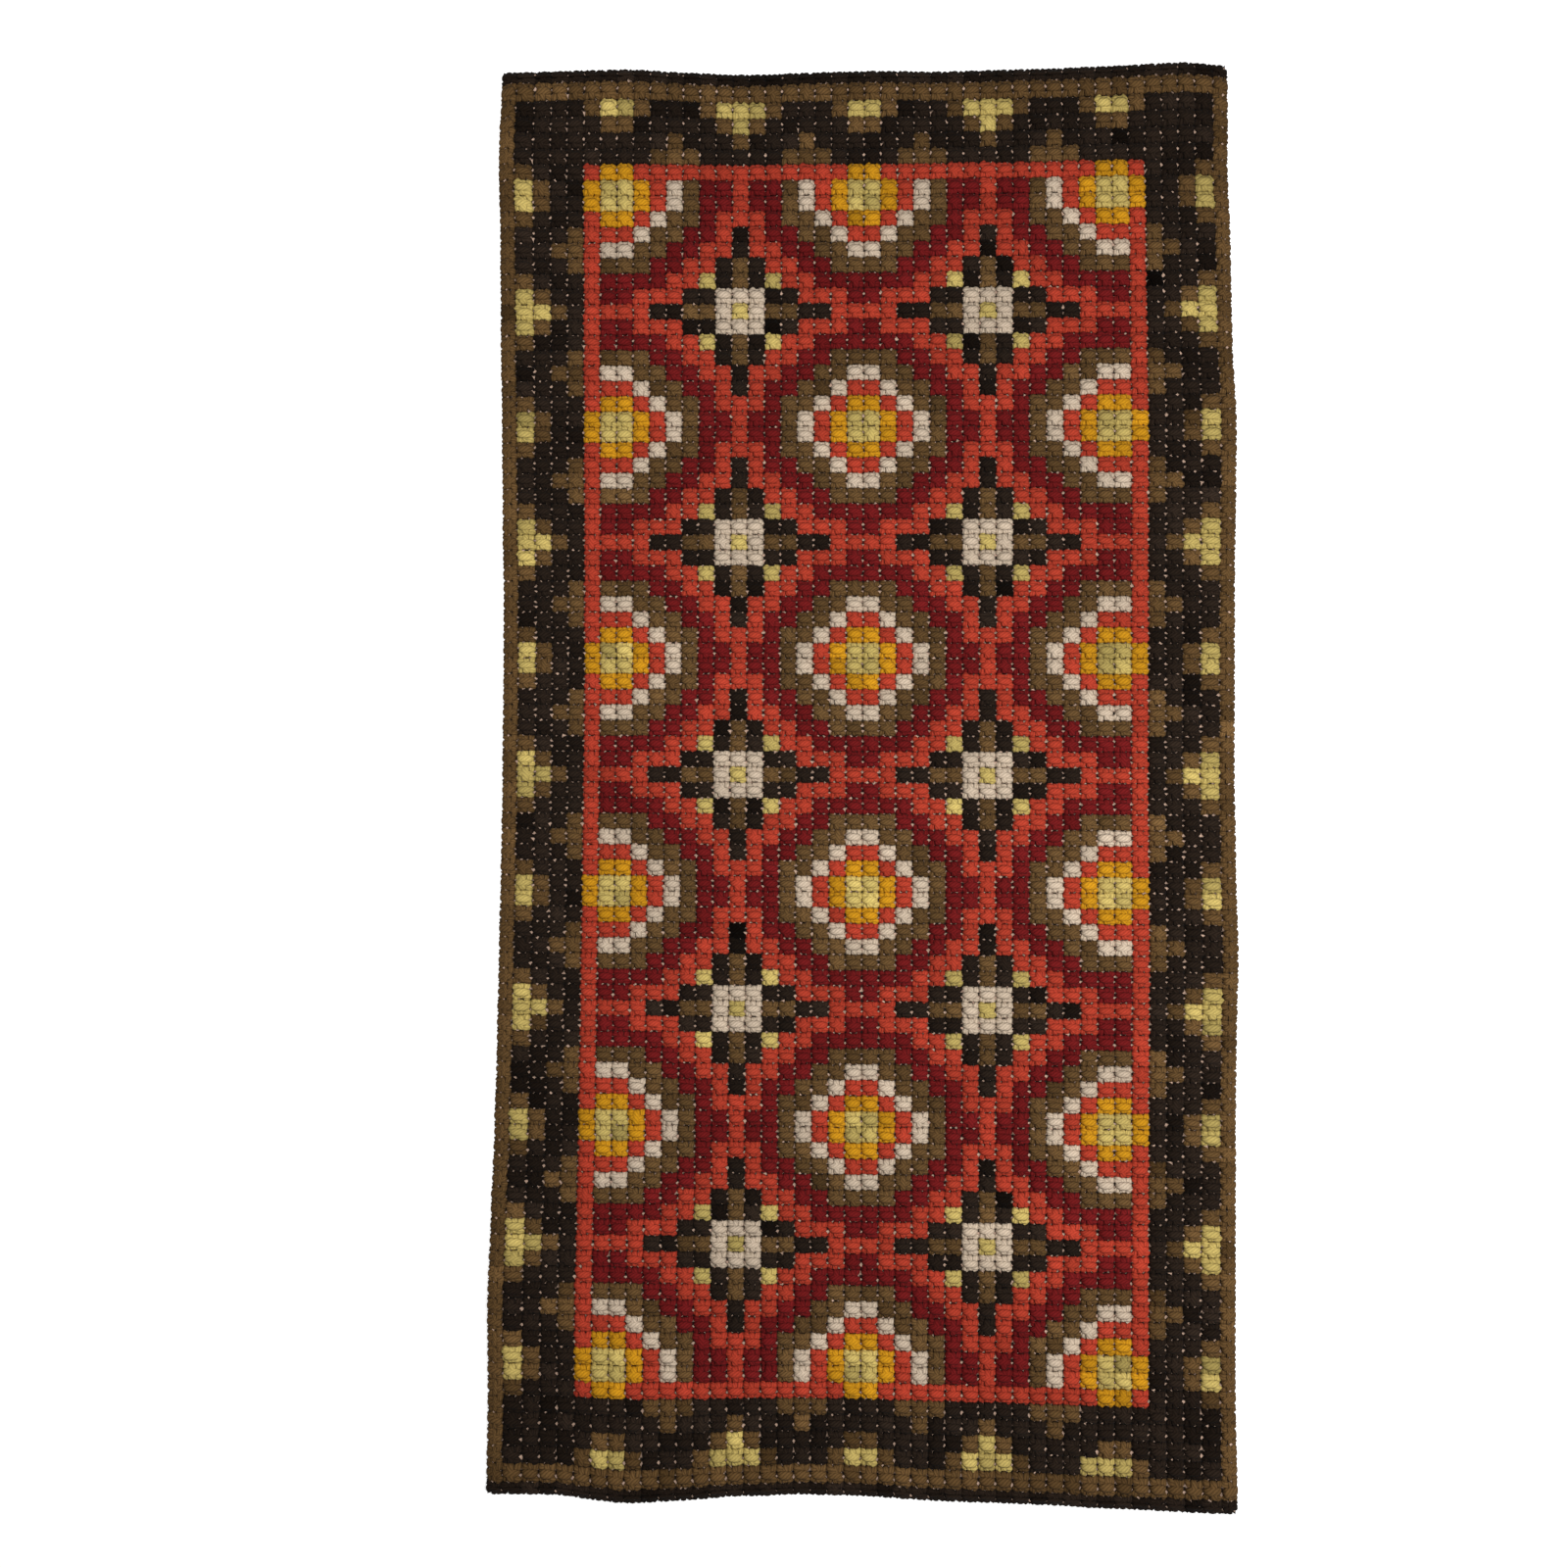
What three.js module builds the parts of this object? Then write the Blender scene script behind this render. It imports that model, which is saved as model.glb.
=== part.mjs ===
// A wool-embroidered tapestry lying face up: one stitched canvas with its edges turned under.
// Millimetres, +Z up. The origin is under the middle of the cloth's bounding box, +Y runs towards its upper end.

import * as THREE from 'three';
import { mergeVertices } from 'three/addons/utils/BufferGeometryUtils.js';

// Driving dimensions: the stitch count and the size of one double cross stitch
const STITCH_COLUMNS = 44;
const STITCH_ROWS = 91;
const STITCH_WIDTH = 6.75;
const STITCH_HEIGHT = 6.33;

// Yarn on the back, canvas, and four crossed legs of yarn on the face
const BACK_YARN = 1.1;
const CANVAS = 0.8;
const FACE_YARN = 3.1;

const WIDTH = STITCH_COLUMNS * STITCH_WIDTH;
const LENGTH = STITCH_ROWS * STITCH_HEIGHT;
const THICKNESS = BACK_YARN + CANVAS + FACE_YARN;
const ROLL_RADIUS = THICKNESS / 2;

// The mesh has one point for every two stitches, and steps round the rolled edge
const STITCHES_PER_STEP = 2;
const COLUMN_STEPS = Math.round(STITCH_COLUMNS / STITCHES_PER_STEP);
const ROW_STEPS = Math.round(STITCH_ROWS / STITCHES_PER_STEP);
const ROLL_STEPS = 6;

// How far each long side strays outwards from the straight one, from the lower end to the upper
const SIDE_WANDER = [
  { up: -288, left: 2.7, right: 1.4 },
  { up: -252, left: 2.4, right: 1.2 },
  { up: -216, left: 2.6, right: 1.3 },
  { up: -180, left: 1.6, right: 1.5 },
  { up: -144, left: 0.5, right: 1.6 },
  { up: -108, left: -0.3, right: 2.0 },
  { up: -72, left: -0.8, right: 2.5 },
  { up: -36, left: -1.4, right: 2.0 },
  { up: 0, left: -1.8, right: 1.5 },
  { up: 36, left: -2.1, right: 1.7 },
  { up: 72, left: -1.6, right: 1.8 },
  { up: 108, left: -0.9, right: 2.1 },
  { up: 144, left: -0.3, right: 2.3 },
  { up: 180, left: 0.5, right: 1.0 },
  { up: 216, left: 1.0, right: 0.4 },
  { up: 252, left: 1.7, right: -1.0 },
  { up: 288, left: 0.8, right: -1.6 },
];

// How far each short end strays outwards, from the left side to the right
const END_WANDER = [
  { across: -148, lower: 4.6, upper: 2.8 },
  { across: -124, lower: 4.3, upper: 2.5 },
  { across: -94, lower: 6.6, upper: 2.6 },
  { across: -70, lower: 5.5, upper: 1.6 },
  { across: -48, lower: 3.8, upper: 0.7 },
  { across: -24, lower: 2.6, upper: 1.4 },
  { across: 2, lower: 2.8, upper: 1.0 },
  { across: 28, lower: 3.8, upper: 1.2 },
  { across: 52, lower: 4.5, upper: 1.8 },
  { across: 76, lower: 5.5, upper: 2.3 },
  { across: 102, lower: 6.6, upper: 3.1 },
  { across: 128, lower: 7.0, upper: 3.3 },
  { across: 148, lower: 7.0, upper: 1.5 },
];
const WANDER_REACH = 110;

// Where the stitching has pulled the cloth into low swells along its edges
const SWELLS = [
  { across: -104, up: 288, lift: 2.0, wide: 46, long: 36 },
  { across: 4, up: 288, lift: 1.8, wide: 30, long: 32 },
  { across: 140, up: 280, lift: 2.6, wide: 44, long: 42 },
  { across: 150, up: 132, lift: 1.7, wide: 30, long: 52 },
  { across: 150, up: -74, lift: 1.5, wide: 28, long: 44 },
  { across: 148, up: -284, lift: 1.9, wide: 38, long: 46 },
  { across: 34, up: -290, lift: 1.2, wide: 40, long: 26 },
  { across: -92, up: -290, lift: 1.9, wide: 38, long: 34 },
  { across: -150, up: -206, lift: 1.5, wide: 28, long: 50 },
  { across: -148, up: 30, lift: 1.2, wide: 24, long: 46 },
  { across: -148, up: 252, lift: 1.4, wide: 28, long: 34 },
];

const wool = new THREE.MeshStandardMaterial({ color: 0x8a3a26, roughness: 0.95, metalness: 0 });

// A value from a table column, eased between the two rows that hold the place
function fromTable(table, placeColumn, valueColumn, place) {
  const last = table[table.length - 1];
  if (place <= table[0][placeColumn]) return table[0][valueColumn];
  if (place >= last[placeColumn]) return last[valueColumn];
  const next = table.findIndex((row) => row[placeColumn] > place);
  const [before, after] = [table[next - 1], table[next]];
  const share = (place - before[placeColumn]) / (after[placeColumn] - before[placeColumn]);
  return THREE.MathUtils.lerp(before[valueColumn], after[valueColumn], THREE.MathUtils.smoothstep(share, 0, 1));
}

// An edge's stray fades out towards the even stitching in the middle
function fadeFrom(edgeDistance) {
  const near = THREE.MathUtils.clamp(1 - edgeDistance / WANDER_REACH, 0, 1);
  return near * near;
}

function strayAcross(x, y) {
  const right = fromTable(SIDE_WANDER, 'up', 'right', y) * fadeFrom(WIDTH / 2 - x);
  const left = fromTable(SIDE_WANDER, 'up', 'left', y) * fadeFrom(WIDTH / 2 + x);
  return right - left;
}

function strayUp(x, y) {
  const upper = fromTable(END_WANDER, 'across', 'upper', x) * fadeFrom(LENGTH / 2 - y);
  const lower = fromTable(END_WANDER, 'across', 'lower', x) * fadeFrom(LENGTH / 2 + y);
  return upper - lower;
}

// The swells are soft domes that end level with the surface, so the middle lies flat on it
function liftAt(x, y) {
  return SWELLS.reduce((lift, swell) => {
    const across = (x - swell.across) / swell.wide;
    const up = (y - swell.up) / swell.long;
    const inside = Math.max(0, 1 - across * across - up * up);
    return lift + swell.lift * inside * inside;
  }, 0);
}

// A box's points are rolled round at the rim, strayed and lifted, then centred on the origin
function rolledSheet() {
  const box = new THREE.BoxGeometry(WIDTH, LENGTH, 1, COLUMN_STEPS, ROW_STEPS, ROLL_STEPS);
  box.deleteAttribute('normal');
  box.deleteAttribute('uv');
  const sheet = mergeVertices(box);
  const points = sheet.attributes.position;
  const innerAcross = 1 - ROLL_RADIUS / (WIDTH / 2);
  const innerUp = 1 - ROLL_RADIUS / (LENGTH / 2);
  const onEdge = (place, half) => (Math.abs(Math.abs(place) - half) < 1e-3 ? Math.sign(place) : 0);
  for (let i = 0; i < points.count; i += 1) {
    const boxPoint = new THREE.Vector3().fromBufferAttribute(points, i);
    const outwards = new THREE.Vector2(onEdge(boxPoint.x, WIDTH / 2), onEdge(boxPoint.y, LENGTH / 2)).normalize();
    const turn = boxPoint.z * Math.PI;
    const flatX = boxPoint.x * innerAcross + outwards.x * ROLL_RADIUS * Math.cos(turn);
    const flatY = boxPoint.y * innerUp + outwards.y * ROLL_RADIUS * Math.cos(turn);
    const height = ROLL_RADIUS * (1 + Math.sin(turn)) + liftAt(flatX, flatY);
    points.setXYZ(i, flatX + strayAcross(flatX, flatY), flatY + strayUp(flatX, flatY), height);
  }
  sheet.computeBoundingBox();
  const middle = sheet.boundingBox.getCenter(new THREE.Vector3());
  sheet.translate(-middle.x, -middle.y, 0);
  sheet.computeVertexNormals();
  return sheet;
}

const tapestry = new THREE.Group();
const embroideredCloth = new THREE.Mesh(rolledSheet(), wool);
embroideredCloth.name = 'embroidered_cloth';
tapestry.add(embroideredCloth);

export default tapestry;
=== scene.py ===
import collections
import math

import bmesh
import bpy
import numpy as np
from bpy.props import FloatProperty, FloatVectorProperty, IntProperty, PointerProperty
from bpy.types import Operator, Panel, PropertyGroup
from mathutils import Matrix, Vector


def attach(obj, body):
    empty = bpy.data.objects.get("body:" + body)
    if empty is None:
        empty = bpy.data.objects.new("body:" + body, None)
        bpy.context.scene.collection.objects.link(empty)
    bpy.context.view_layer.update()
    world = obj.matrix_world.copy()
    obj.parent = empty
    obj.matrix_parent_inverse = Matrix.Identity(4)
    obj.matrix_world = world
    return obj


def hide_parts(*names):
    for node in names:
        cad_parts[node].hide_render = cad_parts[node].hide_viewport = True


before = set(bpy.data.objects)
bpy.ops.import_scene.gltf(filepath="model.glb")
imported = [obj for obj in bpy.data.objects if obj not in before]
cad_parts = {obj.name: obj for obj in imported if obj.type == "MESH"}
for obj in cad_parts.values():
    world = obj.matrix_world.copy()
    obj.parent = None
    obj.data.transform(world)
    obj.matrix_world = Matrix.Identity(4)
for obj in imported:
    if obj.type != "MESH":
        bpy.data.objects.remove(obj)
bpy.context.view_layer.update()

bl_info = {
    "name": "Embroidered tapestry",
    "version": (1, 0, 0),
    "blender": (4, 5, 0),
    "location": "View3D > Sidebar > Tapestry",
    "description": "A wool tapestry in double cross stitch on canvas, lying face up",
    "category": "Add Mesh",
}

MM = 0.001
SOLID = "embroidered_cloth"

# The counted work
COLUMNS = 44
ROWS = 91
FRAME_COLUMN = 6
FRAME_ROW = 7
STAR_COLUMN = 15
STAR_ROW = 16
REPEAT = 15

# One quarter of the star repeat, from its middle row and middle column outwards
STAR_QUARTER = (
    "LWBBKKRR",
    "WWKKRRRD",
    "BKLRRDDD",
    "BKRRDDBB",
    "KRRDDBBW",
    "KRDDBBWR",
    "RRDBBWRY",
    "RDDBWRYL",
)

# The toothed border's four lines from the outside in, each outwards from a star's middle
BORDER_LINES = (
    "LLBKKKBL",
    "LBKKKKKB",
    "BKKKBKKK",
    "KKKBBBKK",
)

# The column and row of one border stitch that was worked in straw by mistake
SLIP = (36, 89)

# The solid has one upper point for every two stitches, and its upper faces lie at least this level
STITCHES_PER_POINT = 2
LEVEL_NORMAL = 0.985

# A length too small to matter, and the digits to which points of the solid are alike, in metres
TINY = 1e-9
WELD_DIGITS = 6

# A ring of points round a leg: its place from the leg's middle to its end,
# and its shares of the leg's full width and rise
Ring = collections.namedtuple("Ring", "place width rise")
LEG_END = Ring(1.0, 0.0, 0.0)
UNDER_RINGS = (Ring(0.91, 0.64, 0.46), Ring(0.72, 1.0, 1.0))
UPRIGHT_RINGS = (Ring(0.955, 0.90, 0.58), Ring(0.74, 1.0, 1.0))
BAR_RINGS = (Ring(0.945, 0.35, 0.40), Ring(0.76, 0.70, 0.82), Ring(0.38, 1.0, 1.0))
FLOAT_RINGS = (Ring(0.6, 1.0, 1.0),)

# A leg of four sides has a flat one up
FLAT_SIDES = 4

# Legs of the outermost stitches have more sides and rings, to go round the fold
EDGE_SIDES = 6
EDGE_RINGS = (Ring(0.97, 0.50, 0.50), Ring(0.87, 0.80, 0.86), Ring(0.76, 0.95, 0.96), Ring(0.62, 1.0, 1.0))

# A leg of a stitch: where it ends in half stitches, its crown in shares of the pile, its width in yarns
Leg = collections.namedtuple("Leg", "across up crown width sides rings")
FACE_LEGS = (
    Leg(across=1, up=1, crown=0.46, width=1.14, sides=4, rings=UNDER_RINGS),
    Leg(across=-1, up=1, crown=0.64, width=1.14, sides=4, rings=UNDER_RINGS),
    Leg(across=0, up=1, crown=0.82, width=0.96, sides=5, rings=UPRIGHT_RINGS),
    Leg(across=1, up=0, crown=1.00, width=1.08, sides=7, rings=BAR_RINGS),
)
BACK_FLOATS = (
    Leg(across=0.5, up=-1, crown=-0.34, width=0.7, sides=4, rings=FLOAT_RINGS),
    Leg(across=0, up=1, crown=-0.28, width=0.7, sides=4, rings=FLOAT_RINGS),
)

# Each group of like stitches: its chart letter, where it is worked, its yarn and how full that yarn is
Work = collections.namedtuple("Work", "piece letter place yarn fullness")
WORKS = (
    Work("charcoal_border_stitches", "K", "border", "charcoal", 1.02),
    Work("charcoal_star_stitches", "K", "field", "charcoal", 1.03),
    Work("brown_border_stitches", "B", "border", "brown", 1.03),
    Work("brown_lattice_stitches", "B", "field", "brown", 1.04),
    Work("straw_stitches", "L", "all", "straw", 1.14),
    Work("gold_stitches", "Y", "all", "gold", 1.16),
    Work("poppy_stitches", "R", "all", "poppy", 1.06),
    Work("garnet_stitches", "D", "all", "garnet", 1.07),
    Work("white_stitches", "W", "all", "white", 1.08),
)

# How much the dye of a yarn differs from stitch to stitch, and how much shade is painted in the grooves
# between its plies
Dye = collections.namedtuple("Dye", "spread groove")
DYES = {
    "charcoal": Dye(0.25, 0.42),
    "brown": Dye(0.15, 0.42),
    "straw": Dye(0.14, 0.24),
    "gold": Dye(0.08, 0.24),
    "poppy": Dye(0.07, 0.28),
    "garnet": Dye(0.08, 0.34),
    "white": Dye(0.05, 0.24),
}

# A smooth change of one value into another: from low to high, into to_low to to_high
Change = collections.namedtuple("Change", "low high to_low to_high", defaults=(0.0, 1.0))

# Wool: the plies' grooves and streaks of fibre along the yarn, patches of uneven dye, and painted shade in
# the grooves and on the legs' sides and ends
PLY_ROUND = Change(0.0, 0.32)
FIBRE_SCALE = 2.4
FIBRE_STRETCH = (0.9, 9.0, 1.0)
FIBRE_LEAN = (0.0, 0.0, 0.5)
FIBRE_SHADE = Change(0.25, 0.75, 0.82, 1.14)
FIBRE_HEIGHT = 0.3
PATCH_SCALE = 14.0
PATCH_SHADE = Change(0.3, 0.7, 0.93, 1.06)
PAINTED_SHADE_POWER = 4.0
WOOL_BUMP = (0.3 * MM, 0.5)
WOOL_FINISH = {
    "Roughness": 0.92,
    "Specular IOR Level": 0.01,
    "Sheen Weight": 0.012,
    "Sheen Roughness": 0.5,
}

# Canvas: a hole at each corner of a stitch and midway between, painted near black as shade, and flecks in
# the cotton
HOLES_PER_STITCH = 2
HOLE_EDGE = Change(0.6, 0.3)
PAINTED_HOLE_SHADE = (0.012, 0.008, 0.006, 1.0)
THREAD_ROUND = Change(0.15, 0.7)
FLECK_SCALE = 900.0
FLECK_SHADE = Change(0.25, 0.75, 0.82, 1.08)
FLECK_HEIGHT = 0.25
CANVAS_BUMP = (0.3 * MM, 0.7)
CANVAS_FINISH = {
    "Roughness": 0.9,
    "Specular IOR Level": 0.2,
    "Sheen Weight": 0.1,
}

# Floor: pale and matt, with a little light of its own
WHITE_LIGHT = (1.0, 1.0, 1.0, 1.0)
FLOOR_FINISH = {
    "Base Color": (0.95, 0.95, 0.95, 1.0),
    "Emission Color": WHITE_LIGHT,
    "Emission Strength": 0.3,
    "Roughness": 0.9,
}


class TapestrySizes(PropertyGroup):
    """Sizes of the stitches, the canvas and the turned edge"""

    stitch_width: FloatProperty(
        name="Stitch width", description="Across one double cross stitch",
        default=6.75 * MM, unit="LENGTH")
    stitch_height: FloatProperty(
        name="Stitch height", description="Along the length of the cloth",
        default=6.33 * MM, unit="LENGTH")
    yarn_width: FloatProperty(
        name="Yarn width", description="Width of a leg of yarn seen from above",
        default=2.75 * MM, unit="LENGTH")
    yarn_thickness: FloatProperty(
        name="Yarn thickness", description="Thickness of a leg pressed between the others",
        default=1.7 * MM, unit="LENGTH")
    pile: FloatProperty(
        name="Pile", description="Middle of the top leg above the middle of the canvas",
        default=2.65 * MM, unit="LENGTH")
    dive: FloatProperty(
        name="Dive", description="How far a leg ends below the middle of the canvas",
        default=0.3 * MM, unit="LENGTH")
    canvas_level: FloatProperty(
        name="Canvas level", description="Middle of the canvas above the surface it lies on",
        default=1.5 * MM, unit="LENGTH")
    canvas_thickness: FloatProperty(
        name="Canvas thickness", description="Two crossed threads pressed flat",
        default=0.5 * MM, unit="LENGTH")
    fold_radius: FloatProperty(
        name="Fold radius", description="Radius of the turned edge, at the middle of the canvas",
        default=0.6 * MM, unit="LENGTH")
    fold_inset: FloatProperty(
        name="Fold inset", description="Where the fold starts, inwards from the outermost holes",
        default=1.8 * MM, unit="LENGTH")
    side_ease: FloatProperty(
        name="Side ease", description="How much wider the outermost columns are, to go over the fold",
        default=0.65 * MM, unit="LENGTH")
    fold_lead: FloatProperty(
        name="Fold lead", description="How far inside the fold the yarn starts to sink towards it",
        default=2.5 * MM, unit="LENGTH")
    edge_yarn: FloatProperty(
        name="Edge yarn", description="Thickness of a leg pressed round the fold",
        default=1.1 * MM, unit="LENGTH")
    hem: FloatProperty(
        name="Hem", description="Width of bare canvas turned under",
        default=12.0 * MM, unit="LENGTH")
    unevenness: FloatProperty(
        name="Unevenness", description="How much the stitches differ from each other",
        default=1.0, min=0.0, max=2.0, subtype="FACTOR")
    seed: IntProperty(
        name="Seed", description="Picks the stitches' small differences", default=44)


class TapestryColours(PropertyGroup):
    """Colours of the wools and of the canvas"""

    charcoal: FloatVectorProperty(
        name="Charcoal", description="Border ground and star outlines",
        default=(0.0170, 0.0110, 0.0076), subtype="COLOR")
    brown: FloatVectorProperty(
        name="Brown", description="Edge line, border teeth and lattice bands",
        default=(0.104, 0.0572, 0.0212), subtype="COLOR")
    straw: FloatVectorProperty(
        name="Straw", description="Rosette middles and border diamonds",
        default=(0.420, 0.319, 0.0975), subtype="COLOR")
    gold: FloatVectorProperty(
        name="Gold", description="Ring round the rosettes",
        default=(0.448, 0.208, 0.0092), subtype="COLOR")
    poppy: FloatVectorProperty(
        name="Poppy red", description="Frame line, rosette rings and star grounds",
        default=(0.354, 0.0388, 0.0204), subtype="COLOR")
    garnet: FloatVectorProperty(
        name="Garnet", description="Lattice diamonds",
        default=(0.129, 0.0087, 0.0091), subtype="COLOR")
    white: FloatVectorProperty(
        name="White", description="Rosette outlines and star middles",
        default=(0.464, 0.370, 0.277), subtype="COLOR")
    canvas: FloatVectorProperty(
        name="Canvas", description="Threads that show between the stitches",
        default=(0.624, 0.425, 0.316), subtype="COLOR")


class TapestryStage(PropertyGroup):
    """Camera and light"""

    camera_place: FloatVectorProperty(
        name="Camera place", description="From the middle of the stitched face",
        default=(-14.30 * MM, -17.74 * MM, 620.0 * MM), subtype="XYZ", unit="LENGTH")
    camera_turn: FloatVectorProperty(
        name="Camera turn", description="Tilt, pan and roll away from looking straight down",
        default=tuple(math.radians(a) for a in (-1.2845, -1.6155, -0.2259)), subtype="EULER")
    lens: FloatProperty(
        name="Lens", description="Focal length on a 36 mm sensor", default=35.14, unit="CAMERA")
    world_light: FloatProperty(
        name="World light", description="Even light from all round", default=0.18)
    lamp_power: FloatProperty(
        name="Lamp power", description="Softbox over the cloth", default=8.8, unit="POWER")
    lamp_length: FloatProperty(
        name="Lamp length", description="Long side of the softbox", default=1.15, unit="LENGTH")
    lamp_width: FloatProperty(
        name="Lamp width", description="Short side of the softbox", default=0.3, unit="LENGTH")
    lamp_turn: FloatProperty(
        name="Lamp turn", description="Turn of the softbox's long side away from the cloth's short side",
        default=math.radians(-31), subtype="ANGLE")
    lamp_place: FloatVectorProperty(
        name="Lamp place", description="From the middle of the stitched face",
        default=(0.135, -0.006, 0.63), subtype="XYZ", unit="LENGTH")


class ClothForm:
    """Lays flat places of the cloth on the form that the solid gives it, with its edges folded under"""

    def __init__(self, sizes):
        self.sizes = sizes
        self.lattice = upper_lattice()
        self.middle = self.lattice[self.lattice.shape[0] // 2, self.lattice.shape[1] // 2]
        roll = self.middle[2] / 2
        self.half_width = COLUMNS * sizes.stitch_width / 2
        self.half_length = ROWS * sizes.stitch_height / 2
        self.lattice_reach = np.array((self.half_width - roll, self.half_length - roll))
        self.fold_across = self.half_width + sizes.side_ease - sizes.fold_inset
        self.fold_along = self.half_length - sizes.fold_inset

    def warp(self, across, along):
        """Where a place seen from above lies in the frame, and how far the cloth is lifted there"""
        steps = np.array(self.lattice.shape[1::-1]) - 1
        place = np.stack([across, along], 1)
        index = (place / self.lattice_reach + 1) / 2 * steps
        held = np.clip(index, 0, steps)
        past = place - (held / steps * 2 - 1) * self.lattice_reach
        cell = np.minimum(held.astype(int), steps - 1)
        column_weights = cubic_weights(held[:, 0] - cell[:, 0])
        row_weights = cubic_weights(held[:, 1] - cell[:, 1])
        found = np.zeros((len(place), 3))
        for i, row_weight in enumerate(row_weights, -1):
            row = np.clip(cell[:, 1] + i, 0, steps[1])
            for j, column_weight in enumerate(column_weights, -1):
                column = np.clip(cell[:, 0] + j, 0, steps[0])
                found += self.lattice[row, column] * (row_weight * column_weight)[:, None]
        found[:, :2] += past
        found[:, 2] -= self.middle[2]
        return found

    def eased(self, across):
        """Flat places across the cloth, with its outermost columns widened"""
        past = np.maximum(np.abs(across) - self.half_width + self.sizes.stitch_width, 0)
        return across + np.sign(across) * past / self.sizes.stitch_width * self.sizes.side_ease

    def near_fold(self, across, along):
        """How far flat places have come towards the fold: 0 well inside it, 1 where it starts"""
        past = np.maximum(np.abs(across) - self.fold_across, np.abs(along) - self.fold_along)
        near = np.clip(1 + past / self.sizes.fold_lead, 0, 1)
        return near**2 * (3 - 2 * near)

    def place(self, across, along, height):
        """Points of the frame from flat places on the cloth and heights above its canvas"""
        radius = self.sizes.fold_radius
        over_across = np.maximum(np.abs(across) - self.fold_across, 0)
        over_along = np.maximum(np.abs(along) - self.fold_along, 0)
        over = np.hypot(over_across, over_along)
        turn = np.minimum(over / radius, math.pi)
        outwards = (radius + height) * np.sin(turn)
        share = outwards / np.maximum(over, TINY)
        plan_across = np.clip(across, -self.fold_across, self.fold_across)
        plan_along = np.clip(along, -self.fold_along, self.fold_along)
        points = self.warp(
            plan_across + np.sign(across) * over_across * share,
            plan_along + np.sign(along) * over_along * share)
        level = self.sizes.canvas_level + (radius + height) * np.cos(turn) - radius
        points[:, 2] += np.maximum(level, 0)
        return points


def upper_lattice():
    """The solid's upper points in rows from the lower end up, each row from left to right"""
    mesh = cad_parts[SOLID].data
    corners = np.empty(len(mesh.loops), np.int32)
    mesh.loops.foreach_get("vertex_index", corners)
    points = np.empty(len(mesh.vertices) * 3, np.float32)
    mesh.vertices.foreach_get("co", points)
    normals = np.empty(len(mesh.polygons) * 3, np.float32)
    mesh.polygons.foreach_get("normal", normals)
    level = normals.reshape(-1, 3)[:, 2] > LEVEL_NORMAL
    used = points.reshape(-1, 3)[corners.reshape(-1, 3)[level].ravel()]
    upper = np.unique(used.astype(float).round(WELD_DIGITS), axis=0)
    row_length = COLUMNS // STITCHES_PER_POINT + 1
    if len(upper) % row_length:
        raise RuntimeError(f"the solid's upper face has {len(upper)} points, not whole rows of {row_length}")
    rows = upper[np.argsort(upper[:, 1])].reshape(-1, row_length, 3)
    return np.stack([row[np.argsort(row[:, 0])] for row in rows])


def cubic_weights(t):
    """Smooth weights of the four lattice points around a place t of the way between the middle two"""
    return (
        (-t + 2 * t**2 - t**3) / 2,
        (2 - 5 * t**2 + 3 * t**3) / 2,
        (t + 4 * t**2 - 3 * t**3) / 2,
        (-(t**2) + t**3) / 2,
    )


def from_axis(count, axis):
    """Distance from the nearest middle of the repeat"""
    past = (count - axis) % REPEAT
    return min(past, REPEAT - past)


def chart_letter(column, row):
    """The yarn of one stitch, with column 1 at the left and row 1 at the upper end"""
    column_in = min(column, COLUMNS + 1 - column)
    row_in = min(row, ROWS + 1 - row)
    if row_in == 1:
        return "K"
    if row_in == 2 or column_in == 1:
        return "B"
    if (column, row) == SLIP:
        return "L"
    across = from_axis(column, STAR_COLUMN)
    along = from_axis(row, STAR_ROW)
    if column_in < FRAME_COLUMN and row_in < FRAME_ROW:
        return "K"
    if column_in < FRAME_COLUMN:
        return BORDER_LINES[column_in - 2][along]
    if row_in < FRAME_ROW:
        return BORDER_LINES[row_in - 3][across]
    letter = STAR_QUARTER[along][across]
    on_frame = column_in == FRAME_COLUMN or row_in == FRAME_ROW
    return "R" if on_frame and letter != "Y" else letter


def in_border(column, row):
    return min(column, COLUMNS + 1 - column) < FRAME_COLUMN or min(row, ROWS + 1 - row) < FRAME_ROW


def stitches_of(work):
    """Columns and rows of the stitches in one group"""
    found = []
    for row in range(1, ROWS + 1):
        for column in range(1, COLUMNS + 1):
            place = "border" if in_border(column, row) else "field"
            if chart_letter(column, row) == work.letter and work.place in ("all", place):
                found.append((column, row))
    return np.array(found)


def from_lowest(face):
    """A face's corners in the same turn, from the lowest number on"""
    start = face.index(min(face))
    return face[start:] + face[:start]


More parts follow.
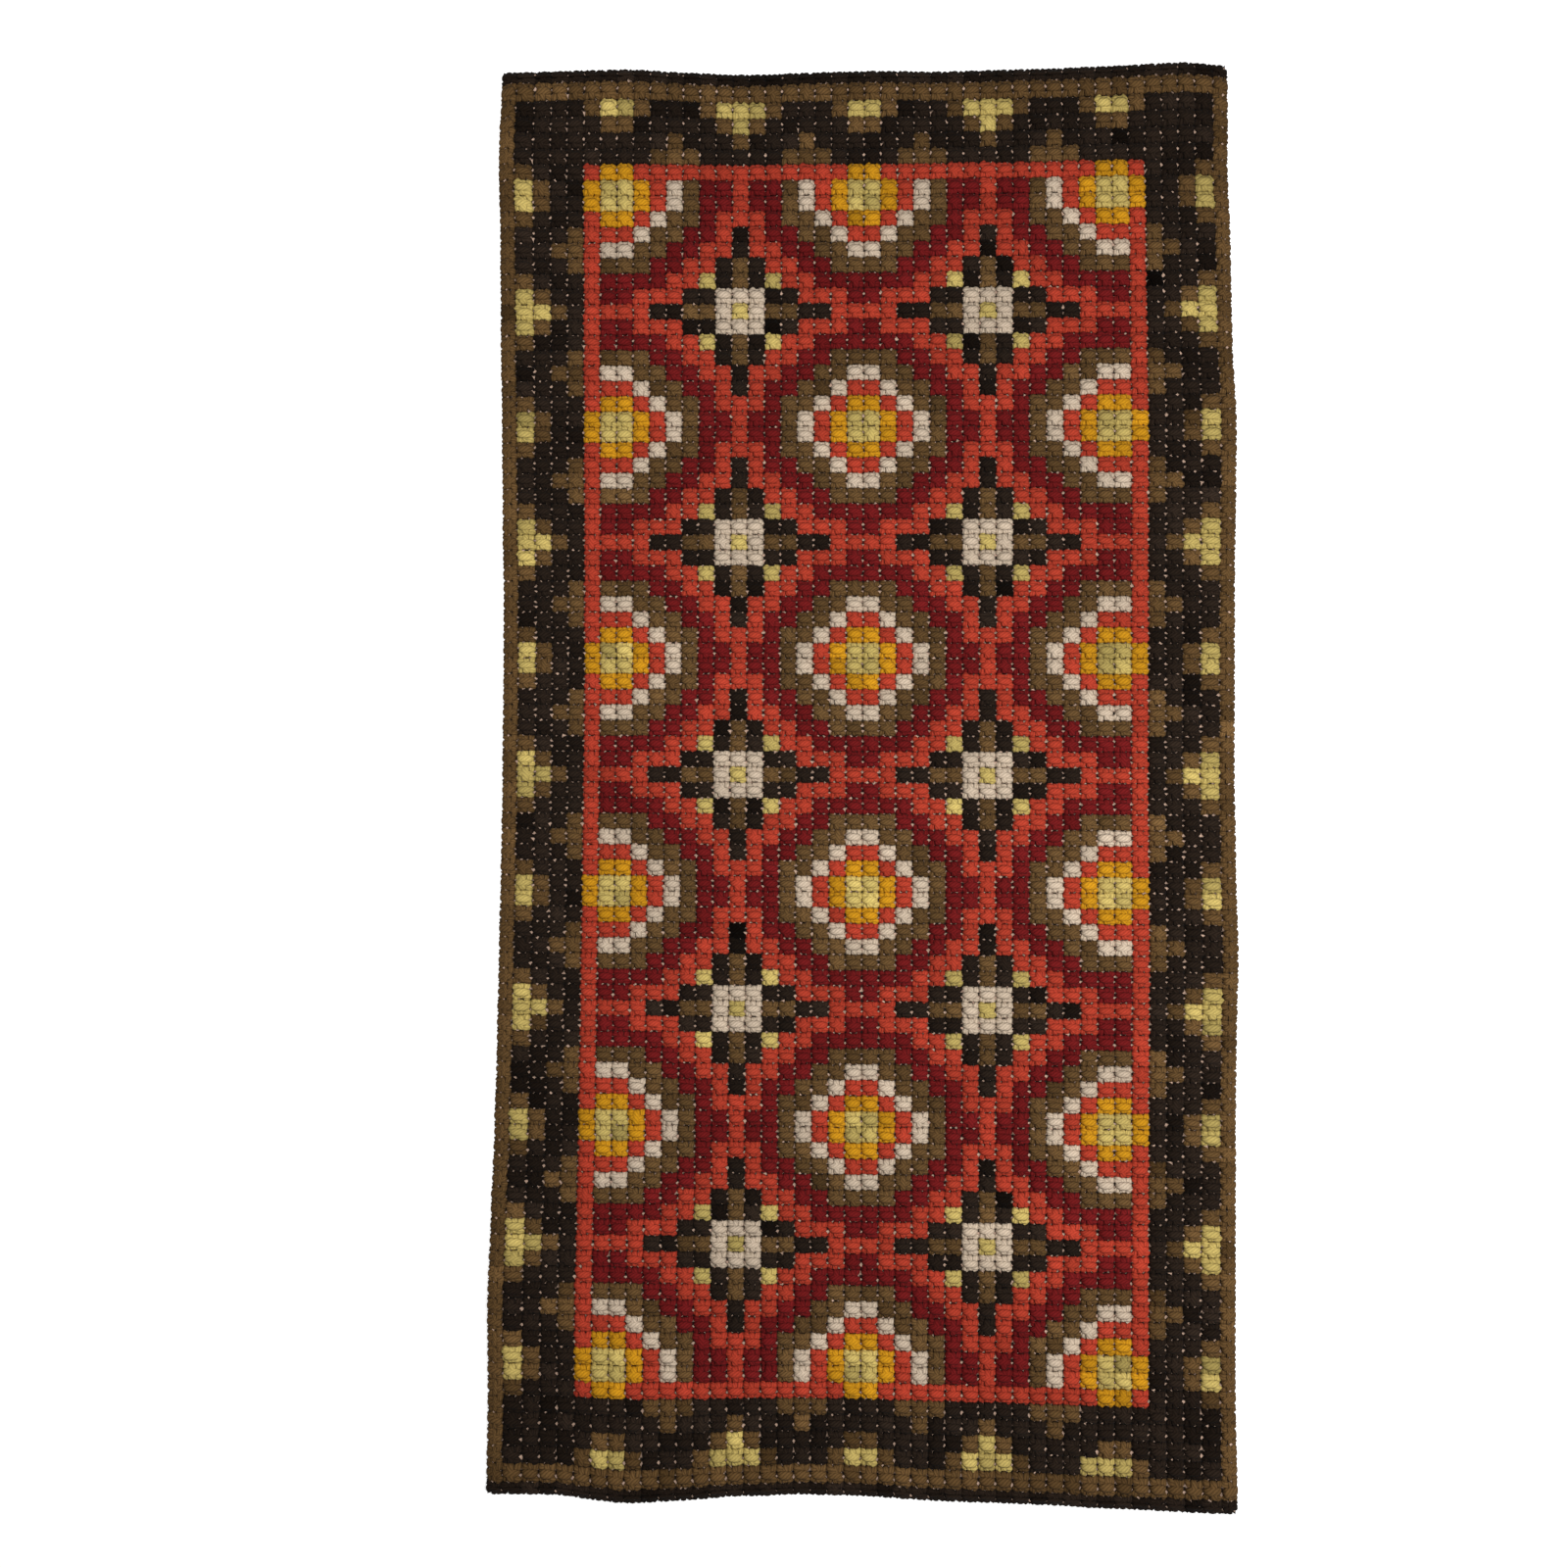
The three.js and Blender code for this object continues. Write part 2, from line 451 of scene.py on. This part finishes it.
class LegShape:
    """The mesh that every copy of one leg shares: rings of points between two closed ends"""

    def __init__(self, leg):
        half = (LEG_END,) + leg.rings
        profile = np.array(half + tuple(ring._replace(place=-ring.place) for ring in reversed(half)))
        rings = len(profile) - 2
        bm = bmesh.new()
        bmesh.ops.create_uvsphere(bm, u_segments=leg.sides, v_segments=rings + 1, radius=1)
        points = np.array([v.co for v in bm.verts])
        ring = np.rint(np.arccos(np.clip(points[:, 2], -1, 1)) / math.pi * (rings + 1)).astype(int)
        side = np.rint(np.arctan2(points[:, 1], points[:, 0]) / math.tau * leg.sides).astype(int) % leg.sides
        side[(ring == 0) | (ring == rings + 1)] = 0
        order = np.lexsort((side, ring))
        number = np.argsort(order).tolist()
        corners = sorted(from_lowest([number[v.index] for v in f.verts]) for f in bm.faces)
        bm.free()
        ring, side = ring[order], side[order]
        self.is_end = (ring == 0) | (ring == rings + 1)
        self.along, self.width, self.rise = profile[ring].T
        flat_up = 0.5 if leg.sides == FLAT_SIDES else 0
        self.angle = (side + flat_up) / leg.sides * math.tau - math.pi / 2
        self.up = np.sin(self.angle)
        self.sizes = np.array([len(face) for face in corners])
        self.corners = np.concatenate(corners)
        around = [self.around_face(face, side, leg.sides) for face in corners]
        self.around = np.concatenate(around)

    def around_face(self, face, side, sides):
        """Turns around the leg at a face's corners, unbroken where the face closes the ring"""
        rim = [side[v] for v in face if not self.is_end[v]]
        closes = max(rim) == sides - 1 and min(rim) == 0
        turns = np.array([side[v] + sides * (closes and side[v] == 0) for v in face], float)
        ends = self.is_end[face]
        turns[ends] = turns[~ends].mean()
        return turns / sides


def build_mesh(name, parts):
    """One mesh from the joined arrays of many legs"""
    points = np.concatenate([p["points"] for p in parts])
    sizes = np.concatenate([p["sizes"] for p in parts])
    starts = np.concatenate([[0], np.cumsum(sizes)[:-1]])
    offsets = np.cumsum([0] + [len(p["points"]) for p in parts[:-1]])
    corners = np.concatenate([p["corners"] + o for p, o in zip(parts, offsets)])
    mesh = bpy.data.meshes.new(name)
    mesh.vertices.add(len(points))
    mesh.vertices.foreach_set("co", points.astype(np.float32).ravel())
    mesh.loops.add(len(corners))
    mesh.loops.foreach_set("vertex_index", corners.astype(np.int32))
    mesh.polygons.add(len(sizes))
    mesh.polygons.foreach_set("loop_start", starts.astype(np.int32))
    mesh.update(calc_edges=True)
    mesh.shade_smooth()
    for layer in ("yarn", "OFBake"):
        uv = np.concatenate([p[layer] for p in parts]).astype(np.float32)
        mesh.uv_layers.new(name=layer).uv.foreach_set("vector", uv.ravel())
    # The dye's tone of each stitch, and where shade is painted on the legs
    for attribute in ("tone", "painted_leg_shade"):
        values = np.concatenate([p[attribute] for p in parts]).astype(np.float32)
        mesh.attributes.new(attribute, "FLOAT", "POINT").data.foreach_set("value", values)
    if mesh.validate():
        raise RuntimeError(f"{name} has faulty faces")
    return mesh


class Embroidery:
    """Works legs of yarn into the cloth, with the small differences of handwork"""

    TILE_MARGIN = 0.06
    WIDEST_DRAW = 2
    SPREAD = {"shift": 0.13 * MM, "slant": 0.035, "swell": 0.07}

    def __init__(self, sizes):
        self.sizes = sizes
        self.form = ClothForm(sizes)
        self.shapes = [LegShape(leg) for leg in FACE_LEGS + BACK_FLOATS]
        edge_legs = [leg._replace(rings=EDGE_RINGS, sides=max(leg.sides, EDGE_SIDES)) for leg in FACE_LEGS]
        self.edge_shapes = [LegShape(leg) for leg in edge_legs] + self.shapes[len(FACE_LEGS):]
        random = np.random.default_rng(sizes.seed)
        grid = (len(self.shapes), ROWS + 1, COLUMNS + 1)
        self.drawn = {
            "shift_across": random.normal(size=grid),
            "shift_along": random.normal(size=grid),
            "slant": random.normal(size=grid),
            "swell": random.normal(size=grid),
            "phase": random.uniform(size=grid),
        }
        self.tone = random.normal(size=grid[1:])

    def varied(self, kind, leg_number, cells, spread):
        """A small difference for one leg of each stitch"""
        drawn = self.drawn[kind][leg_number, cells[:, 1], cells[:, 0]]
        return np.clip(drawn, -self.WIDEST_DRAW, self.WIDEST_DRAW) * spread * self.sizes.unevenness

    def leg_part(self, number, shape, cells, fullness):
        """The arrays of one leg in many stitches, all but the flat places for baking"""
        sizes = self.sizes
        leg = (FACE_LEGS + BACK_FLOATS)[number]
        middle_across = (cells[:, 0] - (COLUMNS + 1) / 2) * sizes.stitch_width
        middle_along = ((ROWS + 1) / 2 - cells[:, 1]) * sizes.stitch_height
        middle_across = middle_across + self.varied("shift_across", number, cells, self.SPREAD["shift"])
        middle_along = middle_along + self.varied("shift_along", number, cells, self.SPREAD["shift"])
        reach = np.array((leg.across * sizes.stitch_width, leg.up * sizes.stitch_height)) / 2
        slant = self.varied("slant", number, cells, self.SPREAD["slant"])[:, None]
        reach_across = reach[0] - reach[1] * slant
        reach_along = reach[1] + reach[0] * slant
        swell = 1 + self.varied("swell", number, cells, self.SPREAD["swell"])[:, None]
        half_width = fullness * sizes.yarn_width * leg.width / 2 * shape.width * np.cos(shape.angle)
        length = np.hypot(*reach)
        across = middle_across[:, None] + reach_across * shape.along - reach[1] / length * half_width * swell
        along = middle_along[:, None] + reach_along * shape.along + reach[0] / length * half_width * swell
        across = self.form.eased(across)
        crown = leg.crown * sizes.pile * (swell if leg.crown > 0 else 1)
        lift = -sizes.dive + (crown + sizes.dive) * shape.rise
        edge_lift = math.copysign((sizes.canvas_thickness + sizes.edge_yarn) / 2, leg.crown)
        near = self.form.near_fold(across, along)
        half_round = sizes.yarn_thickness * leg.width / 2 * shape.up
        edge_round = sizes.edge_yarn / 2 * shape.up / shape.up.max()
        height = lift + near * (edge_lift - lift)
        height = height + (half_round + near * (edge_round - half_round)) * shape.width * swell
        # Share of each point left without painted shade: the legs' lower sides and the ends where they dive
        # towards a hole are painted dark as shade, less so round the fold
        unshaded_share = np.maximum(shape.up, 0) * (shape.rise + near * (1 - shape.rise))
        points = self.form.place(across.ravel(), along.ravel(), height.ravel())
        count = len(cells)
        first = np.arange(count)[:, None] * len(shape.along)
        phase = self.drawn["phase"][number, cells[:, 1], cells[:, 0]]
        along_mm = shape.along[shape.corners] * length / MM
        yarn = np.empty((count, len(shape.corners), 2))
        yarn[:, :, 0] = along_mm
        yarn[:, :, 1] = shape.around + phase[:, None]
        return {
            "points": points,
            "corners": (shape.corners + first).ravel(),
            "sizes": np.tile(shape.sizes, count),
            "yarn": yarn.reshape(-1, 2),
            "tone": np.repeat(self.tone[cells[:, 1], cells[:, 0]], len(shape.along)),
            "painted_leg_shade": 1 - unshaded_share.ravel(),
        }

    def bake_places(self, number, shape, stitches, count):
        """A flat place of its own for every face: a tile for each stitch, a strip for each leg"""
        tiles = math.ceil(math.sqrt(count))
        strips = np.cumsum([0] + [len(set(s.angle)) for s in self.shapes])
        strip = strips[number:number + 2] / strips[-1]
        margin = self.TILE_MARGIN
        inside = np.stack([
            strip[0] + (strip[1] - strip[0]) * (margin + (1 - 2 * margin) * shape.around),
            margin + (1 - 2 * margin) * (shape.along[shape.corners] + 1) / 2,
        ], 1)
        tile = np.stack([stitches % tiles, stitches // tiles], 1)
        return ((tile[:, None, :] + inside) / tiles).reshape(-1, 2)

    def piece(self, work):
        """One group of stitches as an object"""
        cells = stitches_of(work)
        outermost = np.any((cells == 1) | (cells == (COLUMNS, ROWS)), axis=1)
        parts = []
        for stitches, shapes in (
                (np.flatnonzero(~outermost), self.shapes), (np.flatnonzero(outermost), self.edge_shapes)):
            for number, shape in enumerate(shapes):
                part = self.leg_part(number, shape, cells[stitches], work.fullness)
                part["OFBake"] = self.bake_places(number, shape, stitches, len(cells))
                parts.append(part)
        piece = bpy.data.objects.new(work.piece, build_mesh(work.piece, parts))
        bpy.context.scene.collection.objects.link(piece)
        return piece


def new_group(name, inputs, outputs):
    """A shader node group with named sockets, each a name, a socket type and a default"""
    group = bpy.data.node_groups.new(name, "ShaderNodeTree")
    for label, kind, value in inputs:
        socket = group.interface.new_socket(label, in_out="INPUT", socket_type=kind)
        socket.default_value = value
    for label, kind in outputs:
        group.interface.new_socket(label, in_out="OUTPUT", socket_type=kind)
    return group


class Nodes:
    """Adds nodes to one tree; a number or a socket goes into each input in turn"""

    def __init__(self, tree):
        self.tree = tree

    def add(self, kind, **settings):
        node = self.tree.nodes.new(kind)
        for name, value in settings.items():
            setattr(node, name, value)
        return node

    def put(self, socket, value):
        if isinstance(value, bpy.types.NodeSocket):
            self.tree.links.new(value, socket)
        else:
            socket.default_value = value

    def math(self, operation, *values):
        node = self.add("ShaderNodeMath", operation=operation)
        for socket, value in zip(node.inputs, values):
            self.put(socket, value)
        return node.outputs[0]

    def remap(self, value, change):
        node = self.add("ShaderNodeMapRange", interpolation_type="SMOOTHSTEP")
        for socket, number in zip(node.inputs, (value, *change)):
            self.put(socket, number)
        return node.outputs[0]

    def mix(self, factor, first, second, blend="MIX"):
        node = self.add("ShaderNodeMix", data_type="RGBA", blend_type=blend)
        self.put(node.inputs["Factor"], factor)
        self.put(node.inputs["A"], first)
        self.put(node.inputs["B"], second)
        return node.outputs["Result"]

    def shaded(self, colour, level):
        """A colour made darker or lighter by one level"""
        grey = self.add("ShaderNodeCombineColor")
        for socket in grey.inputs[:3]:
            self.put(socket, level)
        return self.mix(1.0, colour, grey.outputs[0], "MULTIPLY")

    def noise(self, vector, scale, detail=2.0):
        node = self.add("ShaderNodeTexNoise")
        self.put(node.inputs["Vector"], vector)
        node.inputs["Scale"].default_value = scale
        node.inputs["Detail"].default_value = detail
        return node.outputs["Fac"]


def wool_group():
    """Plies, fibres and uneven dye of one wool yarn, with painted shade in the ply grooves and on the legs'
    sides and ends
    """
    group = new_group(
        "Wool yarn",
        (
            ("Yarn", "NodeSocketColor", (0.5, 0.5, 0.5, 1.0)),
            ("Plies", "NodeSocketFloat", 6.0),
            ("Lay", "NodeSocketFloat", 1.75),
            ("Painted shade between plies", "NodeSocketFloat", 0.24),
            ("Painted leg shade", "NodeSocketFloat", 0.85),
            ("Dye spread", "NodeSocketFloat", 0.07),
        ),
        (("Colour", "NodeSocketColor"), ("Height", "NodeSocketFloat")),
    )
    nodes = Nodes(group)
    given = nodes.add("NodeGroupInput").outputs
    uv = nodes.add("ShaderNodeUVMap", uv_map="yarn").outputs["UV"]
    split = nodes.add("ShaderNodeSeparateXYZ")
    nodes.put(split.inputs[0], uv)
    along, around = split.outputs["X"], split.outputs["Y"]
    twist = nodes.math("DIVIDE", along, given["Lay"])
    turns = nodes.math("MULTIPLY_ADD", around, given["Plies"], twist)
    ply = nodes.remap(nodes.math("PINGPONG", turns, 0.5), PLY_ROUND)
    stretched = nodes.add("ShaderNodeMapping")
    nodes.put(stretched.inputs["Vector"], uv)
    stretched.inputs["Scale"].default_value = FIBRE_STRETCH
    stretched.inputs["Rotation"].default_value = FIBRE_LEAN
    fibre = nodes.noise(stretched.outputs["Vector"], FIBRE_SCALE, detail=3.0)
    place = nodes.add("ShaderNodeTexCoord").outputs["Object"]
    patch = nodes.noise(place, PATCH_SCALE)
    tone = nodes.add("ShaderNodeAttribute", attribute_name="tone").outputs["Fac"]
    level = nodes.math("MULTIPLY_ADD", tone, given["Dye spread"], 1.0)
    level = nodes.math("MULTIPLY", level, nodes.remap(fibre, FIBRE_SHADE))
    level = nodes.math("MULTIPLY", level, nodes.remap(patch, PATCH_SHADE))
    # Painted shade in the grooves between the plies
    groove = nodes.math("MULTIPLY", nodes.math("SUBTRACT", 1.0, ply), given["Painted shade between plies"])
    level = nodes.math("MULTIPLY", level, nodes.math("SUBTRACT", 1.0, groove))
    # Painted shade on the legs' lower sides and where they dive into the holes
    side = nodes.add("ShaderNodeAttribute", attribute_name="painted_leg_shade").outputs["Fac"]
    painted_leg_shade = nodes.math("MULTIPLY", nodes.math("POWER", side, PAINTED_SHADE_POWER), given["Painted leg shade"])
    level = nodes.math("MULTIPLY", level, nodes.math("SUBTRACT", 1.0, painted_leg_shade))
    out = nodes.add("NodeGroupOutput").inputs
    nodes.put(out["Colour"], nodes.shaded(given["Yarn"], level))
    nodes.put(out["Height"], nodes.math("MULTIPLY_ADD", fibre, FIBRE_HEIGHT, ply))
    return group


def new_material(name, finish):
    """A material with the plain values of its shader set"""
    material = bpy.data.materials.new(name)
    material.use_nodes = True
    shader = material.node_tree.nodes["Principled BSDF"]
    for socket, value in finish.items():
        shader.inputs[socket].default_value = value
    return material, Nodes(material.node_tree), shader


def bumped(nodes, shader, height, distance, strength):
    """Fine relief in a shader's normal"""
    bump = nodes.add("ShaderNodeBump")
    nodes.put(bump.inputs["Height"], height)
    bump.inputs["Distance"].default_value = distance
    bump.inputs["Strength"].default_value = strength
    nodes.put(shader.inputs["Normal"], bump.outputs["Normal"])


def wool_material(yarn, colour, group):
    """Matt wool with a soft bloom of fibres"""
    material, nodes, shader = new_material(f"{yarn} wool", WOOL_FINISH)
    wool = nodes.add("ShaderNodeGroup", node_tree=group)
    wool.inputs["Yarn"].default_value = (*colour, 1.0)
    wool.inputs["Dye spread"].default_value = DYES[yarn].spread
    wool.inputs["Painted shade between plies"].default_value = DYES[yarn].groove
    nodes.put(shader.inputs["Base Color"], wool.outputs["Colour"])
    bumped(nodes, shader, wool.outputs["Height"], *WOOL_BUMP)
    return material


def canvas_material(colour):
    """Even-weave canvas: pairs of threads with holes between them painted near black as shade, two holes to
    a stitch
    """
    material, nodes, shader = new_material("Canvas", CANVAS_FINISH)
    uv = nodes.add("ShaderNodeUVMap", uv_map="weave").outputs["UV"]
    split = nodes.add("ShaderNodeSeparateXYZ")
    nodes.put(split.inputs[0], uv)
    half_mesh = 0.5 / HOLES_PER_STITCH
    from_holes = [nodes.math("PINGPONG", split.outputs[axis], half_mesh) for axis in "XY"]
    between = [nodes.math("DIVIDE", distance, half_mesh) for distance in from_holes]
    hole = nodes.remap(nodes.math("MAXIMUM", *between), HOLE_EDGE)
    thread = nodes.math("MAXIMUM", *[nodes.remap(share, THREAD_ROUND) for share in between])
    flecks = nodes.noise(nodes.add("ShaderNodeTexCoord").outputs["Object"], FLECK_SCALE, detail=3.0)
    cotton = nodes.shaded((*colour, 1.0), nodes.remap(flecks, FLECK_SHADE))
    # The holes are painted near black as shade
    nodes.put(shader.inputs["Base Color"], nodes.mix(hole, cotton, PAINTED_HOLE_SHADE))
    bumped(nodes, shader, nodes.math("MULTIPLY_ADD", flecks, FLECK_HEIGHT, thread), *CANVAS_BUMP)
    return material


class TAPESTRY_OT_ground_canvas(Operator):
    """Canvas ground on the cloth's form, folded over at its edges, with a narrow hem turned under"""

    bl_idname = "tapestry.ground_canvas"
    bl_label = "Ground canvas"

    FOLD_STEPS = 6
    HEM_STEPS = 2
    RIM_SLACK = 1e-7

    def execute(self, context):
        sizes = context.scene.tapestry_sizes
        form = ClothForm(sizes)
        bm = bmesh.new()
        weave = bm.loops.layers.uv.new("weave")
        bmesh.ops.create_grid(bm, x_segments=COLUMNS, y_segments=ROWS, size=1)
        for v in bm.verts:
            v.co = (v.co.x * form.fold_across, v.co.y * form.fold_along, 0)
        flat = {v: (v.co.x, v.co.y) for v in bm.verts}
        rim = [e for e in bm.edges if e.is_boundary]
        for step in range(1, self.FOLD_STEPS + self.HEM_STEPS + 1):
            rim = self.turn_rim(bm, rim, step, form, flat)
        for face in bm.faces:
            for loop in face.loops:
                across, along = flat[loop.vert]
                loop[weave].uv = (
                    across / sizes.stitch_width + COLUMNS / 2,
                    along / sizes.stitch_height + ROWS / 2)
        self.put_in_order(bm, flat)
        places = np.array([v.co for v in bm.verts])
        points = form.warp(places[:, 0], places[:, 1])
        points[:, 2] += places[:, 2] + sizes.canvas_level
        for v, point in zip(bm.verts, points):
            v.co = point
        bmesh.ops.recalc_face_normals(bm, faces=bm.faces)
        if max(bm.faces, key=lambda f: f.calc_area()).normal.z < 0:
            bmesh.ops.reverse_faces(bm, faces=bm.faces)
        mesh = bpy.data.meshes.new("ground_canvas")
        bm.to_mesh(mesh)
        bm.free()
        mesh.shade_smooth()
        mesh.materials.append(canvas_material(context.scene.tapestry_colours.canvas))
        canvas = bpy.data.objects.new("ground_canvas", mesh)
        context.scene.collection.objects.link(canvas)
        both_faces = canvas.modifiers.new("Thickness", "SOLIDIFY")
        both_faces.thickness = sizes.canvas_thickness
        both_faces.offset = 0
        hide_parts(SOLID)
        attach(canvas, "root")
        return {"FINISHED"}

    def put_in_order(self, bm, flat):
        """The same order of points and faces each time, by their flat places"""
        rank = {v: number for number, v in enumerate(sorted(bm.verts, key=flat.get))}

        def face_rank(face):
            first, second = sorted(rank[v] for v in face.verts)[:2]
            return first * len(rank) + second

        bm.faces.sort(key=face_rank)
        bm.verts.sort(key=rank.get)

    def turn_rim(self, bm, rim, step, form, flat):
        """One more ring of canvas: round the fold first, then inwards under the cloth"""
        radius = form.sizes.fold_radius
        turn = math.pi * min(step / self.FOLD_STEPS, 1)
        hem_share = max(step - self.FOLD_STEPS, 0) / self.HEM_STEPS
        inwards = hem_share * form.sizes.hem
        cut = radius * turn + inwards
        made = bmesh.ops.extrude_edge_only(bm, edges=rim)["geom"]
        verts = [g for g in made if isinstance(g, bmesh.types.BMVert)]
        limits = (form.fold_across, form.fold_along)
        shrink = [1 - inwards / limit for limit in limits]
        out = radius * math.sin(turn)
        older = {v: self.rim_place(v, flat) for v in verts}
        for v in verts:
            base = [max(-limit, min(limit, c)) for c, limit in zip(older[v], limits)]
            on_rim = [abs(c) > limit - self.RIM_SLACK for c, limit in zip(base, limits)]
            outwards = [math.copysign(rim, c) for c, rim in zip(base, on_rim)]
            flat[v] = tuple(c + o * cut for c, o in zip(base, outwards))
            v.co = Vector((
                base[0] * shrink[0] + outwards[0] * out,
                base[1] * shrink[1] + outwards[1] * out,
                radius * (math.cos(turn) - 1)))
        return [g for g in made if isinstance(g, bmesh.types.BMEdge) and g.is_boundary]

    def rim_place(self, vert, flat):
        """The flat place of the older vertex that a new one was extruded from"""
        return next(flat[e.other_vert(vert)] for e in vert.link_edges if e.other_vert(vert) in flat)


class TAPESTRY_OT_wool_stitches(Operator):
    """Double cross stitches of every yarn, one piece for each group of like stitches"""

    bl_idname = "tapestry.wool_stitches"
    bl_label = "Wool stitches"

    def execute(self, context):
        scene = context.scene
        group = wool_group()
        yarns = dict.fromkeys(work.yarn for work in WORKS)
        for yarn in yarns:
            yarns[yarn] = wool_material(yarn, getattr(scene.tapestry_colours, yarn), group)
        embroidery = Embroidery(scene.tapestry_sizes)
        for work in WORKS:
            piece = embroidery.piece(work)
            piece.data.materials.append(yarns[work.yarn])
            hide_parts(SOLID)
            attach(piece, "root")
        return {"FINISHED"}


class TAPESTRY_OT_stage(Operator):
    """Pale floor, soft light and a camera looking down on the cloth"""

    bl_idname = "tapestry.stage"
    bl_label = "Stage"

    FLOOR_HALF = 4.0
    FLOOR_GAP = 0.1 * MM
    NEAREST_SEEN = 10 * MM

    def execute(self, context):
        scene = context.scene
        stage = scene.tapestry_stage
        middle = Vector(ClothForm(scene.tapestry_sizes).middle)
        self.floor(scene)
        self.lights(scene, stage, middle)
        self.camera(scene, stage, middle)
        return {"FINISHED"}

    def floor(self, scene):
        bm = bmesh.new()
        bmesh.ops.create_grid(bm, x_segments=1, y_segments=1, size=self.FLOOR_HALF)
        bmesh.ops.translate(bm, verts=bm.verts, vec=(0, 0, -self.FLOOR_GAP))
        mesh = bpy.data.meshes.new("floor")
        bm.to_mesh(mesh)
        bm.free()
        material, _, _ = new_material("Pale floor", FLOOR_FINISH)
        mesh.materials.append(material)
        floor = bpy.data.objects.new("floor", mesh)
        scene.collection.objects.link(floor)

    def lights(self, scene, stage, middle):
        world = bpy.data.worlds.new("Soft light")
        world.use_nodes = True
        background = world.node_tree.nodes["Background"]
        background.inputs["Color"].default_value = WHITE_LIGHT
        background.inputs["Strength"].default_value = stage.world_light
        scene.world = world
        light = bpy.data.lights.new("softbox", "AREA")
        light.energy = stage.lamp_power
        light.shape = "RECTANGLE"
        light.size = stage.lamp_length
        light.size_y = stage.lamp_width
        lamp = bpy.data.objects.new("softbox", light)
        place = Vector(stage.lamp_place)
        lamp.location = middle + place
        facing = place.normalized()
        side = Vector((math.cos(stage.lamp_turn), math.sin(stage.lamp_turn), 0))
        side = (side - side.project(facing)).normalized()
        lamp.rotation_euler = Matrix((side, facing.cross(side), facing)).transposed().to_euler()
        lamp.visible_camera = False
        scene.collection.objects.link(lamp)
        scene.view_settings.view_transform = "Standard"

    def camera(self, scene, stage, middle):
        data = bpy.data.cameras.new("camera")
        data.lens = stage.lens
        data.clip_start = self.NEAREST_SEEN
        camera = bpy.data.objects.new("camera", data)
        tilt, pan, roll = stage.camera_turn
        turn = Matrix.Rotation(roll, 3, "Z") @ Matrix.Rotation(tilt, 3, "X") @ Matrix.Rotation(pan, 3, "Y")
        place = Matrix.Translation(middle + Vector(stage.camera_place))
        camera.matrix_world = place @ turn.transposed().to_4x4()
        scene.collection.objects.link(camera)
        scene.camera = camera


class TAPESTRY_PT_parts(Panel):
    """Builds the tapestry and its stage"""

    bl_idname = "TAPESTRY_PT_parts"
    bl_label = "Embroidered tapestry"
    bl_space_type = "VIEW_3D"
    bl_region_type = "UI"
    bl_category = "Tapestry"

    def draw(self, context):
        for operator in OPERATORS:
            self.layout.operator(operator.bl_idname)
        for group, cls in SETTINGS.items():
            for name in cls.__annotations__:
                self.layout.prop(getattr(context.scene, group), name)


OPERATORS = (TAPESTRY_OT_ground_canvas, TAPESTRY_OT_wool_stitches, TAPESTRY_OT_stage)
SETTINGS = {
    "tapestry_sizes": TapestrySizes,
    "tapestry_colours": TapestryColours,
    "tapestry_stage": TapestryStage,
}


def register():
    for cls in (*SETTINGS.values(), *OPERATORS, TAPESTRY_PT_parts):
        bpy.utils.register_class(cls)
    for name, cls in SETTINGS.items():
        setattr(bpy.types.Scene, name, PointerProperty(type=cls))


def unregister():
    for name in SETTINGS:
        delattr(bpy.types.Scene, name)
    for cls in (TAPESTRY_PT_parts, *reversed(OPERATORS), *SETTINGS.values()):
        bpy.utils.unregister_class(cls)


def main():
    register()
    bpy.ops.tapestry.stage()
    bpy.ops.tapestry.ground_canvas()
    bpy.ops.tapestry.wool_stitches()


if __name__ == "__main__":
    main()
